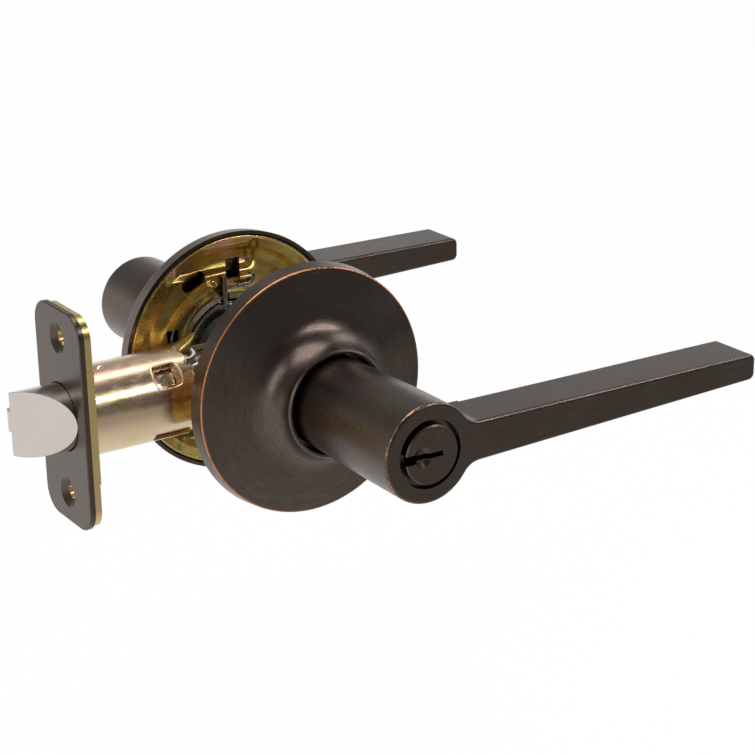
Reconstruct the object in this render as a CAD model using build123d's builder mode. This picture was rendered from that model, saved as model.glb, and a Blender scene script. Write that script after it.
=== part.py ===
"""Keyed lever handle lockset with a deadlocking spring latch, made to go through a door.

Millimetres, +Z up. The levers turn about the Y axis: the keyed side is at -Y, the turn button's at +Y.
The latch slides along the X axis and the door's edge is at -X. The two axes cross at the origin, half way
through the door. Depths called `out` are measured outwards from a face of the door, depths called `into`
from the faceplate's face into the door, and the latch is extended."""
from build123d import *
from math import cos, radians, sin, sqrt
import os

os.makedirs("parts", exist_ok=True)

# The door, and the lockset's overall sizes
door = 35.0
backset = 60.3
rose_radius = 33.35
lever_reach = 104.0  # spindle axis to the lever's tip
lever_out = 56.8  # door to the lever's flat end
bolt_throw = 12.7
lever_turn = 55.0  # degrees from level to fully turned

# Clearances
running = 0.08  # radial, a shaft in its hole
slip = 0.2  # pieces that are put together by hand
apart = 0.4  # pieces that pass each other
face_gap = 0.15  # turning faces side by side

# Rose: a rim, a shallow cone and a cove up to a thin lip round the shank
rose_wall = 1.0
rim_height = 4.3
rim_draft = 0.5
rim_round = 0.5
cone_slope = 2.9 / 11.35  # rise over run
cove_width = 7.1
shank_gap = 1.2  # radial, from the lip's bore to the shank
lip_out = 16.2
lip_round = 0.45

# Mounting plate: a stamped dish inside the rose, with holes punched in its floor
plate_wall = 1.2
plate_lift = 0.4  # the flange stands off the door by this
plate_flange = 3.0
plate_slope = 1.6
floor_out = 3.2  # door to the floor's near side
window_size = (4.3, 5.6)
window_across = 1.5
window_inset = 5.05  # in from the floor's edge
slot_size = (7.5, 4.0)
slot_across = -10.5
slot_inset = 6.85
slot_angle = 27.0
notch_size = 3.4
notch_up = 6.6
notch_past = 2.6  # out from the cage

# Spring cage, return spring, spindle and its retaining ring
cage_wall = 0.8
cage_flange = 0.6
cage_room = 1.1  # round the coil
cage_depth_room = 0.725  # beyond the coil's end
spring_wire = 0.7  # radius
coil_room = 0.5  # between the coil and the spindle's collar
spring_pitch = 1.7
spring_turns = 2.75
leg_past = 5.6  # the leg's end, out from the cage
leg_slot = 4.0  # the cage's slot for it, in radii of the wire
spring_bend = 1.6
spindle_radius = 9.4
spindle_wall = 1.4
spindle_start = 4.2
spindle_floor = 1.6
collar_rise = 1.8
collar_wall = 1.0
ring_wall = 0.8
ring_depth = 0.5
ring_room = 0.55  # from the ring to the shank
ring_rise = 1.8
ring_gap = 70.0  # degrees left open

# Tongues: half tubes that run from both spindles into the hub
tongue_radius = 6.0
tongue_wall = 1.7
tongue_past = 7.0  # beyond the middle of the door
tongue_split = 0.9  # each stops this far short of the half-way plane

# Levers
shank_cover = 2.8  # wall round the spindle
shank_flare = 0.5
shank_taper_start = 17.0
arm_depth = 14.6
arm_root_height = 10.8  # the taper's height where it would reach the spindle axis
arm_tip_height = 7.0
arm_fillet = 5.5
tip_round = 1.8
edge_round = 0.9
catch_radius = 1.5
catch_from_end = 8.0  # in from the spindle's end
catch_short = 0.8  # below the shank's surface
catch_leaf = (7.5, 0.6)
catch_inset = 1.0  # the leaf lies this far inside the spindle's bore

# Key cylinder
mouth_gap = 1.25  # round the plug's head, in the keyed lever's face
cylinder_fit = 0.1
cylinder_length = 23.0
cylinder_gap = 2.0  # from the spindle's end
cylinder_recess = 1.8
plug_radius = 6.35
plug_lip = 1.2
plug_proud = 0.9
plug_bevel = 0.35
plug_tail = 2.0
clip_rise = 1.0
clip_mouth = (10.16, 8.89)
keyway_width = 1.35
keyway_notch = (3.2, 2.4)
keyway_end = 3.1
dimple_radius = 2.6
dimple_depth = 0.7
dimple_taper = 60
dimple_at = -2.8
chamber_width = 6.8
chamber_cover = 1.7  # from the chambers' ridge to the shank's surface
pin_radius = 1.38
pin_pitch = 3.8
pin_lead = 4.6
pin_count = 5
key_pin_start = 2.2
driver_length = 1.9
pin_spring_room = 2.0
pin_spring_pitch = 0.55
pin_wire = 0.15  # radius
chamber_cap = 0.6
tailpiece_size = (4.0, 1.3)
tailpiece_past = 10.0  # beyond the middle of the door

# Turn button and its stem
button_radius = 5.0
button_proud = 1.2
button_flange = (6.4, 1.35)
button_length = 5.0
button_bar = (8.0, 2.0, 2.2)
stem_room = 1.1  # between the stem and the tongues
stem_slot = 12.0

# Through bolts and the posts that they screw into
post_room = 0.3  # between the posts and the cage's flange
post_radius = 3.1
post_past = 8.0  # beyond the middle of the door
rivet_radius = 2.5
rivet_head = (3.4, 0.6)
screw_radius = 2.0
screw_head_radius = 3.6
screw_bore = 18.0
recess_size = (4.0, 0.9)
recess_floor = 0.48
screw_short = 1.0  # the bolts stop this far short of the bore's end

# Faceplate and backing plate
plate_side = 1.2  # from the latch tube to the plate's side
plate_height = 57.15
plate_corner = 6.35
faceplate_wall = 1.5
backing_wall = 2.0
backing_inset = 0.6
backing_shoulder = 3.5  # it is as wide as the faceplate to this far above and below the tube
screw_margin = 7.925  # from the plate's end
screw_hole = 2.2
countersink = 4.0
bolt_gap = 0.3

# Latch
tube_radius = 11.5
tube_wall = 0.8
tube_past = 1.3  # beyond the bulkhead
tube_fit = 0.1
window_from = 21.8
window_to = 29.3
window_width = 6.7
window_corner = 1.5
window_lip = 1.0  # the case's window is smaller all round
window_angle = 43.0
cutout_from = 21.3
cutout_width = 6.6
cutout_corner = 1.2
cutout_angle = -40.5
tube_round = 0.3
bolt_room = 1.0  # between the bolt and the case
bolt_flat = 2.7  # the bolt's back, measured from the latch axis
bolt_tip = 2.3
bolt_rear = 16.3
plunger_gap = 0.6  # between it and the bolt's back
plunger_width = 3.4
plunger_height = 5.6
plunger_short = 0.4  # behind the bolt's tip
plunger_rear = 15.3
plunger_round = 1.5
case_wall = 0.9
case_from = 20.3
case_rear = 12.0  # beyond the spindle axis
case_slot = 3.6
case_height = 17.0
case_cut_shift = 1.0
coil_solid = 1.1  # room left for the spring when the bolt is fully back
bulkhead_wall = 1.4
web_wall = 1.4
rail_width = 2.4
rail_wall = 0.8
rail_room = 0.5  # between the rails and the tube
hook_length = 2.4
hook_at = -2.0
hub_wall = 0.6
hub_half = 10.8
rib_half = 0.5
rib_depth = 1.4
ear_half = 1.3
coil_wire = 0.3  # radius
bolt_coil = 4.0
bolt_coil_at = -2.6
bolt_coil_pitch = 2.4
plunger_coil = 1.8
plunger_coil_pitch = 1.9

# Worked out: the spindle and its spring set the cage, and the cage sets the posts
sides = {"exterior": -1, "interior": 1}
half_door = door / 2
collar_radius = spindle_radius + collar_rise
ring_radius = spindle_radius + ring_rise
spring_radius = collar_radius + coil_room + spring_wire
cage_radius = spring_radius + spring_wire + cage_room + cage_wall
leg_end = cage_radius + leg_past
bolt_spacing = 2 * (cage_radius + cage_flange + post_room + post_radius)
post_places = [(-bolt_spacing / 2, 0), (bolt_spacing / 2, 0)]
plate_radius = rose_radius - rose_wall - apart
flange_end = plate_radius - plate_flange
floor_end = flange_end - plate_slope
floor_far = floor_out + plate_wall
coil_out = floor_out - slip - spring_wire
cage_near = floor_out - cage_wall
cage_far = coil_out + spring_turns * spring_pitch + spring_wire + cage_depth_room + cage_wall
head_edge = bolt_spacing / 2 + screw_head_radius
under_cone = rim_height - rose_wall + (rose_radius - rim_draft - rose_wall - head_edge) * cone_slope
head_height = under_cone - floor_far - running
ring_near = cage_far + face_gap
ring_far = ring_near + ring_wall
shank_start = ring_far + ring_room

# The plug sets the cylinder; it and the spindle set the shank, and the shank sets the rose's lip
plug_head_radius = plug_radius + plug_lip
mouth_radius = plug_head_radius + mouth_gap
cylinder_radius = mouth_radius - cylinder_fit
cylinder_end = lever_out - cylinder_recess
cylinder_start = cylinder_end - cylinder_length
spindle_end = cylinder_start - cylinder_gap
catch_out = spindle_end - catch_from_end
pin_outs = [cylinder_start + pin_lead + number * pin_pitch for number in range(pin_count)]
chambers_end = pin_outs[-1] + pin_radius + chamber_cap
driver_start = plug_radius + face_gap
chamber_height = driver_start + driver_length + pin_spring_room + chamber_cap
shank_radius = max(spindle_radius + shank_cover + shank_flare, chamber_height + chamber_cover)
shank_neck_radius = shank_radius - shank_flare
shank_join = lever_out - arm_depth
neck_radius = shank_neck_radius + shank_gap + rose_wall
cove_radius = neck_radius + cove_width
cone_out = rim_height + (rose_radius - rim_draft - cove_radius) * cone_slope

# The tube sets the faceplate's width, the bolt and the rails; the tongues set the hub
tube_bore = tube_radius - tube_wall
plate_width = 2 * (tube_radius + plate_side)
screw_spacing = plate_height - 2 * screw_margin
faceplate_back = faceplate_wall - backset
sleeve_radius = tube_bore - tube_fit
bolt_radius = sleeve_radius - case_wall - bolt_room
bolt_hole = bolt_radius + bolt_gap
bolt_back = bolt_rear - backset
bulkhead_into = bolt_rear + bolt_throw + web_wall + coil_solid
bulkhead = bulkhead_into - backset
tube_end = bulkhead_into + tube_past
plunger_from = bolt_flat + plunger_gap
plunger_tip = bolt_throw - plunger_short
stem_radius = tongue_radius - tongue_wall - stem_room
rib_radius = tongue_radius - rib_depth
hub_bore = tongue_radius + apart
hub_radius = hub_bore + hub_wall
hook_from = hub_radius + apart
rail_to = tube_bore - rail_room
rail_from = rail_to - rail_wall
ear_radius = rail_from - apart


def half_section(side):
    """Plane through the spindle axis: x is the radius, y the depth out from the door."""
    return Plane((0, side * half_door, 0), x_dir=(1, 0, 0), z_dir=(0, 0, side))


def facing(side, out):
    """Plane parallel to the door, facing outwards: x is along the levers, y is up outside and down inside."""
    return Plane((0, side * (half_door + out), 0), x_dir=(1, 0, 0), z_dir=(0, side, 0))


def latch_section(x):
    """Plane across the latch, facing into the door: x is the Y axis and y is up."""
    return Plane((x, 0, 0), x_dir=(0, 1, 0), z_dir=(1, 0, 0))


def tube_side(angle):
    """Plane on the latch axis that looks out at `angle` above the keyed side: x runs into the door."""
    return Plane((0, 0, 0), x_dir=(1, 0, 0), z_dir=(0, -cos(radians(angle)), sin(radians(angle))))


def pin_axis(out):
    """Plane across the pins' line, facing away from the spindle axis, at a depth out from the door."""
    return Plane((0, -half_door - out, 0), x_dir=(0, 1, 0), z_dir=(1, 0, 0))


def ring_section(inner, outer, near, far):
    """Rectangle between two radii and two depths, for a half section that is revolved."""
    with Locations(((inner + outer) / 2, (near + far) / 2)):
        Rectangle(outer - inner, far - near)


# Roses
for name, side in sides.items():
    with BuildPart() as rose:
        with BuildSketch(half_section(side)) as section:
            with BuildLine():
                rim_top = (rose_radius - rim_draft, rim_height)
                cone_end = (cove_radius, cone_out)
                outside = Polyline((rose_radius, 0), rim_top, cone_end)
                cove = TangentArc(cone_end, (neck_radius, lip_out - lip_round), tangent=outside % 1)
                lip = Line(cove @ 1, (neck_radius - lip_round, lip_out))
                top = Line(lip @ 1, (neck_radius - rose_wall, lip_out))
                inset = Vector(-rose_wall, -rose_wall)
                neck = Line(top @ 1, cove @ 1 + inset)
                inner_end = Vector(*cone_end) + inset
                inner_tangent = Vector(*cone_end) - Vector(*rim_top)
                inner_cove = TangentArc(inner_end, neck @ 1, tangent=inner_tangent)
                Polyline(inner_end, Vector(*rim_top) + inset, (rose_radius - rose_wall, 0), (rose_radius, 0))
            make_face()
            fillet(section.vertices().sort_by_distance(rim_top)[0], rim_round)
        revolve(axis=Axis.Y)
    rose.part.label = f"{name}_rose"
    export_step(rose.part, f"parts/{name}_rose.step")

# Mounting plates, with the same punched pattern turned half a turn below the axis
for name, side in sides.items():
    with BuildPart() as mounting_plate:
        with BuildSketch(half_section(side)):
            flange_far = plate_lift + plate_wall
            with BuildLine():
                Polyline(
                    (plate_radius, plate_lift),
                    (flange_end, plate_lift),
                    (floor_end, floor_out),
                    (cage_radius + slip, floor_out),
                    (cage_radius + slip, floor_far),
                    (floor_end - plate_wall / 2, floor_far),
                    (flange_end - plate_wall / 2, flange_far),
                    (plate_radius, flange_far),
                    close=True,
                )
            make_face()
        revolve(axis=Axis.Y)
        with BuildSketch(facing(side, plate_lift)):
            for turn in (1, -1):
                up = -side * turn
                with Locations((turn * window_across, up * (floor_end - window_inset))):
                    Rectangle(*window_size)
                slot_at = (turn * slot_across, up * (floor_end - slot_inset))
                with Locations(Location(slot_at, -side * slot_angle)):
                    SlotOverall(*slot_size)
                with Locations((-turn * (cage_radius + notch_past), up * notch_up)):
                    Rectangle(notch_size, notch_size)
            with Locations(*post_places):
                Circle(rivet_radius + running)
        extrude(amount=floor_far, mode=Mode.SUBTRACT)
    mounting_plate.part.label = f"{name}_mounting_plate"
    export_step(mounting_plate.part, f"parts/{name}_mounting_plate.step")

# Spring cages: steel cups that hang in the plates' middle holes, with a slot for the spring's leg
for name, side in sides.items():
    with BuildPart() as spring_cage:
        with BuildSketch(half_section(side)):
            ring_section(cage_radius - cage_wall, cage_radius, cage_near, cage_far)
            ring_section(cage_radius - cage_wall, cage_radius + cage_flange, cage_near, floor_out)
            ring_section(spindle_radius + running, cage_radius, cage_far - cage_wall, cage_far)
        revolve(axis=Axis.Y)
        with BuildSketch(facing(side, cage_near)):
            with Locations((-spring_bend, -cage_radius)):
                Rectangle(leg_slot * spring_wire, cage_radius / 2)
        extrude(amount=cage_far - cage_near - 2 * cage_wall, mode=Mode.SUBTRACT)
    spring_cage.part.label = f"{name}_spring_cage"
    export_step(spring_cage.part, f"parts/{name}_spring_cage.step")

# Return springs: two turns of wire inside the cage, and a leg out through its slot
for name, side in sides.items():
    with BuildPart() as return_spring:
        coil_centre = (0, side * (half_door + coil_out), 0)
        with BuildLine() as coil_line:
            coil = Helix(spring_pitch, spring_turns * spring_pitch, spring_radius, coil_centre, (0, side, 0))
            outwards = Vector(0, 0, side)
            bend_start = coil @ 0 - coil % 0 * spring_bend + outwards * spring_bend
            leg = Line(bend_start + outwards * (leg_end - spring_radius - spring_bend), bend_start)
            Spline(leg @ 1, coil @ 0, tangents=(-outwards, coil % 0))
        with BuildSketch(Plane(leg @ 0, z_dir=-outwards)):
            Circle(spring_wire)
        sweep()
    return_spring.part.label = f"{name}_return_spring"
    export_step(return_spring.part, f"parts/{name}_return_spring.step")

# Spindles: tubes that carry the levers, with a collar inside the cage and a half-tube tongue to the hub
for name, side in sides.items():
    with BuildPart() as spindle:
        collar_far = cage_far - cage_wall - face_gap
        with BuildSketch(half_section(side)):
            ring_section(spindle_radius - spindle_wall, spindle_radius, spindle_start, spindle_end)
            ring_section(spindle_radius - spindle_wall, collar_radius, collar_far - collar_wall, collar_far)
            ring_section(
                tongue_radius - tongue_wall, spindle_radius, spindle_start, spindle_start + spindle_floor
            )
        revolve(axis=Axis.Y)
        with BuildSketch(half_section(side)):
            ring_section(spindle_radius - ring_depth, ring_radius, ring_near - running, ring_far + running)
        revolve(axis=Axis.Y, mode=Mode.SUBTRACT)
        with BuildSketch(facing(side, spindle_start)) as tongue_section:
            Circle(tongue_radius)
            Circle(tongue_radius - tongue_wall, mode=Mode.SUBTRACT)
            with Locations((0, tongue_split - tongue_radius)):
                Rectangle(2 * tongue_radius, 2 * tongue_radius, mode=Mode.SUBTRACT)
        extrude(amount=-(half_door + spindle_start + tongue_past))
        with BuildSketch(Plane((0, side * (half_door + catch_out), 0), z_dir=(0, 0, -1))):
            Circle(catch_radius + slip)
        extrude(amount=spindle_radius + 1, mode=Mode.SUBTRACT)
    spindle.part.label = f"{name}_spindle"
    export_step(spindle.part, f"parts/{name}_spindle.step")

# Retaining rings: open rings that snap in the spindles' grooves against the cages
for name, side in sides.items():
    with BuildPart() as retaining_ring:
        with BuildSketch(facing(side, ring_near)):
            Circle(ring_radius)
            Circle(spindle_radius - ring_depth + running, mode=Mode.SUBTRACT)
            mouth = ring_radius * sin(radians(ring_gap / 2))
            with BuildLine():
                Polyline((0, 0), (mouth, side * ring_radius), (-mouth, side * ring_radius), close=True)
            make_face(mode=Mode.SUBTRACT)
        extrude(amount=ring_wall)
    retaining_ring.part.label = f"{name}_retaining_ring"
    export_step(retaining_ring.part, f"parts/{name}_retaining_ring.step")

# Levers: a turned shank with a flat tapering arm that is flush with its end
arm_slope = (arm_root_height - arm_tip_height) / 2 / lever_reach
for name, side in sides.items():
    with BuildPart() as lever:
        with BuildSketch(facing(side, shank_join)) as arm_outline:
            with BuildLine():
                Polyline(
                    (0, arm_root_height / 2),
                    (lever_reach, arm_tip_height / 2),
                    (lever_reach, -arm_tip_height / 2),
                    (0, -arm_root_height / 2),
                    close=True,
                )
            make_face()
            fillet(arm_outline.vertices().group_by(Axis.X)[-1], tip_round)
        extrude(amount=arm_depth)
        back = lever.faces().filter_by_position(
            Axis.Y, side * (half_door + shank_join) - 0.01, side * (half_door + shank_join) + 0.01
        )
        fillet(back.edges().filter_by(lambda e: e.center().X > 1), edge_round)
        with BuildSketch(half_section(side)):
            with BuildLine():
                Polyline(
                    (0, shank_start),
                    (shank_neck_radius, shank_start),
                    (shank_neck_radius, shank_taper_start),
                    (shank_radius, shank_join),
                    (shank_radius, lever_out),
                    (0, lever_out),
                    close=True,
                )
            make_face()
        revolve(axis=Axis.Y)
        with BuildSketch(facing(side, shank_join)) as root_outline:
            root_end = shank_radius + arm_fillet
            root_height = arm_root_height / 2 - arm_slope * root_end
            with BuildLine():
                Polyline(
                    (0, arm_root_height / 2),
                    (root_end, root_height),
                    (root_end, -root_height),
                    (0, -arm_root_height / 2),
                    close=True,
                )
            make_face()
            Circle(shank_radius)
            meeting = sqrt(shank_radius**2 - (arm_root_height / 2) ** 2)
            roots = root_outline.vertices().filter_by(lambda v: abs(v.X - meeting) < 1)
            fillet(roots, arm_fillet)
        extrude(amount=arm_depth)
        front = lever.faces().filter_by_position(
            Axis.Y, side * (half_door + lever_out) - 0.01, side * (half_door + lever_out) + 0.01
        )
        fillet(front.edges(), edge_round)
        with BuildSketch(half_section(side)):
            if name == "exterior":
                bore_end = cylinder_start - slip
                ring_section(0, mouth_radius, bore_end, lever_out)
            else:
                bore_end = lever_out - button_length - button_proud
                ring_section(0, button_radius + running, bore_end, lever_out)
            ring_section(0, spindle_radius + running, shank_start, bore_end)
        revolve(axis=Axis.Y, mode=Mode.SUBTRACT)
        with BuildSketch(Plane((0, side * (half_door + catch_out), 0), z_dir=(0, 0, -1))):
            Circle(catch_radius + slip)
        extrude(amount=shank_radius + 1, mode=Mode.SUBTRACT)
        if name == "exterior":
            slot_end = chambers_end + 3 * slip
            with BuildSketch(facing(side, shank_start)):
                with Locations((chamber_height / 2, 0)):
                    Rectangle(chamber_height + 2 * slip, chamber_width + 2 * slip)
            extrude(amount=slot_end - shank_start, mode=Mode.SUBTRACT)
    lever.part.label = f"{name}_lever"
    export_step(lever.part, f"parts/{name}_lever.step")

# Lever catches: pins that spring out of the spindles into the shanks' holes
for name, side in sides.items():
    with BuildPart() as lever_catch:
        catch_at = (0, side * (half_door + catch_out), 0)
        leaf_at = spindle_radius - spindle_wall - catch_inset
        leaf_plane = Plane(catch_at, z_dir=(0, 0, -1)).offset(leaf_at)
        with BuildSketch(leaf_plane):
            Circle(catch_radius)
        extrude(amount=shank_neck_radius - catch_short - leaf_at)
        with BuildSketch(leaf_plane):
            Rectangle(catch_leaf[0], 2 * catch_radius)
        extrude(amount=-catch_leaf[1])
    lever_catch.part.label = f"{name}_lever_catch"
    export_step(lever_catch.part, f"parts/{name}_lever_catch.step")

# Cylinder body: a sleeve round the plug with a ridge that holds the pin chambers
with BuildPart() as cylinder_body:
    with BuildSketch(facing(-1, cylinder_start)):
        Circle(cylinder_radius)
        with Locations((chamber_height / 2, 0)):
            Rectangle(chamber_height, chamber_width)
        Circle(plug_radius + running, mode=Mode.SUBTRACT)
    extrude(amount=chambers_end - cylinder_start)
    with BuildSketch(facing(-1, cylinder_start)):
        Circle(cylinder_radius)
        Circle(plug_radius + running, mode=Mode.SUBTRACT)
    extrude(amount=cylinder_end - cylinder_start)
    for out in pin_outs:
        with BuildSketch(pin_axis(out)):
            Circle(pin_radius + running)
        extrude(amount=chamber_height - chamber_cap, mode=Mode.SUBTRACT)
cylinder_body.part.label = "cylinder_body"
export_step(cylinder_body.part, "parts/cylinder_body.step")

# Key plug: turns in the body, with the keyway open to the edge of its head
with BuildPart() as key_plug:
    plug_back = cylinder_start - plug_tail
    head_near = cylinder_end + face_gap
    head_far = lever_out + plug_proud
    with BuildSketch(half_section(-1)):
        ring_section(0, plug_radius, plug_back, head_near)
        with BuildLine():
            Polyline(
                (0, head_near),
                (plug_head_radius, head_near),
                (plug_head_radius, head_far - plug_bevel),
                (plug_head_radius - plug_bevel, head_far),
                (0, head_far),
                close=True,
            )
        make_face()
    revolve(axis=Axis.Y)
    with BuildSketch(half_section(-1)):
        ring_section(plug_radius - ring_depth, plug_radius, cylinder_start - face_gap - ring_wall, cylinder_start)
    revolve(axis=Axis.Y, mode=Mode.SUBTRACT)
    with BuildSketch(facing(-1, cylinder_start)):
        keyway_length = keyway_end + plug_head_radius
        with Locations((keyway_end - keyway_length / 2, 0)):
            Rectangle(keyway_length, keyway_width)
        with Locations((keyway_notch[0] / 2 - plug_head_radius, 0)):
            Rectangle(*keyway_notch)
    extrude(amount=head_far - cylinder_start, mode=Mode.SUBTRACT)
    with BuildSketch(facing(-1, head_far)):
        with Locations((dimple_at, 0)):
            Circle(dimple_radius)
    extrude(amount=-dimple_depth, taper=dimple_taper, mode=Mode.SUBTRACT)
    for out in pin_outs:
        with BuildSketch(pin_axis(out)):
            Circle(pin_radius + running)
        extrude(amount=plug_radius + 1, mode=Mode.SUBTRACT)
    with BuildSketch(facing(-1, plug_back)):
        Rectangle(tailpiece_size[0] + 2 * running, tailpiece_size[1] + 2 * running)
    extrude(amount=plug_tail, mode=Mode.SUBTRACT)
key_plug.part.label = "key_plug"
export_step(key_plug.part, "parts/key_plug.step")

# Key pins in the plug, and the driver pins and springs in the body's chambers, at the shear line
with BuildPart() as key_pins:
    for out in pin_outs:
        with BuildSketch(pin_axis(out).offset(key_pin_start)):
            Circle(pin_radius)
        extrude(amount=plug_radius - key_pin_start - face_gap / 2)
key_pins.part.label = "key_pins"
export_step(key_pins.part, "parts/key_pins.step")

with BuildPart() as driver_pins:
    for out in pin_outs:
        with BuildSketch(pin_axis(out).offset(driver_start)):
            Circle(pin_radius)
        extrude(amount=driver_length)
driver_pins.part.label = "driver_pins"
export_step(driver_pins.part, "parts/driver_pins.step")

with BuildPart() as pin_springs:
    spring_from = driver_start + driver_length + pin_wire + running
    spring_to = chamber_height - chamber_cap - pin_wire - running
    for out in pin_outs:
        pin_coil_start = (spring_from, -half_door - out, 0)
        with BuildLine() as pin_coil:
            pin_coil_radius = pin_radius - 2 * pin_wire
            Helix(pin_spring_pitch, spring_to - spring_from, pin_coil_radius, pin_coil_start, (1, 0, 0))
        with BuildSketch(Plane(pin_coil.line @ 0, z_dir=pin_coil.line % 0)):
            Circle(pin_wire)
        sweep(is_frenet=True)
pin_springs.part.label = "pin_springs"
export_step(pin_springs.part, "parts/pin_springs.step")

# Plug clip: holds the plug in the body from behind
with BuildPart() as plug_clip:
    with BuildSketch(facing(-1, cylinder_start - face_gap - ring_wall + running / 2)):
        Circle(plug_radius + clip_rise)
        Circle(plug_radius - ring_depth + running, mode=Mode.SUBTRACT)
        with Locations((0, -plug_radius)):
            Rectangle(*clip_mouth, mode=Mode.SUBTRACT)
    extrude(amount=ring_wall - running)
plug_clip.part.label = "plug_clip"
export_step(plug_clip.part, "parts/plug_clip.step")

# Tailpiece: the blade that carries the key's turn through the door
with BuildPart() as tailpiece:
    with BuildSketch(facing(-1, cylinder_start - running)):
        Rectangle(*tailpiece_size)
    extrude(amount=-(cylinder_start - running + half_door + tailpiece_past))
tailpiece.part.label = "tailpiece"
export_step(tailpiece.part, "parts/tailpiece.step")

# Turn button in the interior lever, and the stem that the tailpiece's end slides in
with BuildPart() as turn_button:
    button_far = lever_out + button_proud
    shoulder = lever_out - button_length - button_proud
    stem_far = shoulder - face_gap - button_flange[1]
    with BuildSketch(half_section(1)):
        ring_section(0, button_radius, shoulder, button_far)
        ring_section(0, button_flange[0], stem_far, shoulder - face_gap)
    revolve(axis=Axis.Y)
    with BuildSketch(facing(1, shoulder - 1)):
        Circle(button_radius - running)
    extrude(amount=2)
    with BuildSketch(facing(1, button_far)):
        SlotOverall(button_bar[0], button_bar[1])
    extrude(amount=button_bar[2])
    outer = turn_button.faces().sort_by(Axis.Y)[-1].edges()
    fillet(outer, button_bar[1] / 4)
turn_button.part.label = "turn_button"
export_step(turn_button.part, "parts/turn_button.step")

with BuildPart() as button_stem:
    stem_near = tailpiece_past - stem_slot
    with BuildSketch(facing(1, stem_far)):
        Circle(stem_radius)
    extrude(amount=-(stem_far + half_door - tailpiece_past + stem_slot))
    with BuildSketch(facing(1, stem_near - half_door)):
        Rectangle(tailpiece_size[0] + 2 * slip, tailpiece_size[1] + 2 * slip)
    extrude(amount=stem_slot + 1, mode=Mode.SUBTRACT)
button_stem.part.label = "button_stem"
export_step(button_stem.part, "parts/button_stem.step")

# Screw posts, riveted to the exterior mounting plate, and the bolts that reach them from inside
with BuildPart() as screw_posts:
    with BuildSketch(facing(-1, floor_out)):
        with Locations(*post_places):
            Circle(post_radius)
    extrude(amount=-(floor_out + half_door + post_past))
    with BuildSketch(facing(-1, floor_out)):
        with Locations(*post_places):
            Circle(rivet_radius)
    extrude(amount=plate_wall)
    with BuildSketch(facing(-1, floor_far)):
        with Locations(*post_places):
            Circle(rivet_head[0])
    extrude(amount=rivet_head[1])
    with BuildSketch(facing(1, post_past - half_door)):
        with Locations(*post_places):
            Circle(screw_radius + running)
    extrude(amount=-screw_bore, mode=Mode.SUBTRACT)
screw_posts.part.label = "screw_posts"
export_step(screw_posts.part, "parts/screw_posts.step")

with BuildPart() as through_bolts:
    with BuildSketch(facing(1, floor_far)):
        with Locations(*post_places):
            Circle(screw_head_radius)
    extrude(amount=head_height)
    with BuildSketch(facing(1, floor_far)):
        with Locations(*post_places):
            Circle(screw_radius)
    extrude(amount=-(floor_far + half_door - post_past + screw_bore - screw_short))
    with BuildSketch(facing(1, floor_far + head_height)):
        with Locations(*post_places):
            Rectangle(recess_size[0], recess_size[1])
            Rectangle(recess_size[1], recess_size[0])
    extrude(amount=recess_floor - head_height, mode=Mode.SUBTRACT)
through_bolts.part.label = "through_bolts"
export_step(through_bolts.part, "parts/through_bolts.step")

# Faceplate, and the backing plate behind it, which is as wide only beside the latch
with BuildPart() as faceplate:
    with BuildSketch(latch_section(-backset)):
        RectangleRounded(plate_width, plate_height, plate_corner)
        Circle(bolt_hole, mode=Mode.SUBTRACT)
    extrude(amount=faceplate_wall)
    fillet(faceplate.faces().sort_by(Axis.X)[0].outer_wire().edges(), faceplate_wall / 4)
    for place in (-screw_spacing / 2, screw_spacing / 2):
        with BuildSketch(Plane((0, 0, place), x_dir=(-1, 0, 0), z_dir=(0, -1, 0))):
            with BuildLine():
                Polyline(
                    (backset, 0),
                    (backset, countersink),
                    (backset - faceplate_wall, screw_hole),
                    (backset - faceplate_wall, 0),
                    close=True,
                )
            make_face()
        revolve(axis=Axis((0, 0, place), (1, 0, 0)), mode=Mode.SUBTRACT)
faceplate.part.label = "faceplate"
export_step(faceplate.part, "parts/faceplate.step")

with BuildPart() as backing_plate:
    with BuildSketch(latch_section(faceplate_back)):
        inner_size = (plate_width - 2 * backing_inset, plate_height - 2 * backing_inset)
        RectangleRounded(*inner_size, plate_corner - backing_inset)
        Rectangle(plate_width, 2 * (tube_radius + backing_shoulder))
        Circle(tube_radius + running, mode=Mode.SUBTRACT)
        with GridLocations(0, screw_spacing, 1, 2):
            Circle(screw_hole, mode=Mode.SUBTRACT)
    extrude(amount=backing_wall)
backing_plate.part.label = "backing_plate"
export_step(backing_plate.part, "parts/backing_plate.step")

# Latch tube, with a window near its top and a cut-out at its open end
with BuildPart() as latch_tube:
    with BuildSketch(latch_section(faceplate_back)):
        Circle(tube_radius)
        Circle(tube_bore, mode=Mode.SUBTRACT)
    extrude(amount=tube_end - faceplate_wall)
    fillet(latch_tube.faces().sort_by(Axis.X)[-1].outer_wire().edges(), tube_round)
    with BuildSketch(tube_side(window_angle)):
        with Locations(((window_from + window_to) / 2 - backset, 0)):
            RectangleRounded(window_to - window_from, window_width, window_corner)
    extrude(amount=2 * tube_radius, mode=Mode.SUBTRACT)
    with BuildSketch(tube_side(cutout_angle)):
        with Locations(((cutout_from + tube_end + 2) / 2 - backset, 0)):
            RectangleRounded(tube_end + 2 - cutout_from, cutout_width, cutout_corner)
    extrude(amount=2 * tube_radius, mode=Mode.SUBTRACT)
latch_tube.part.label = "latch_tube"
export_step(latch_tube.part, "parts/latch_tube.step")

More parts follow.
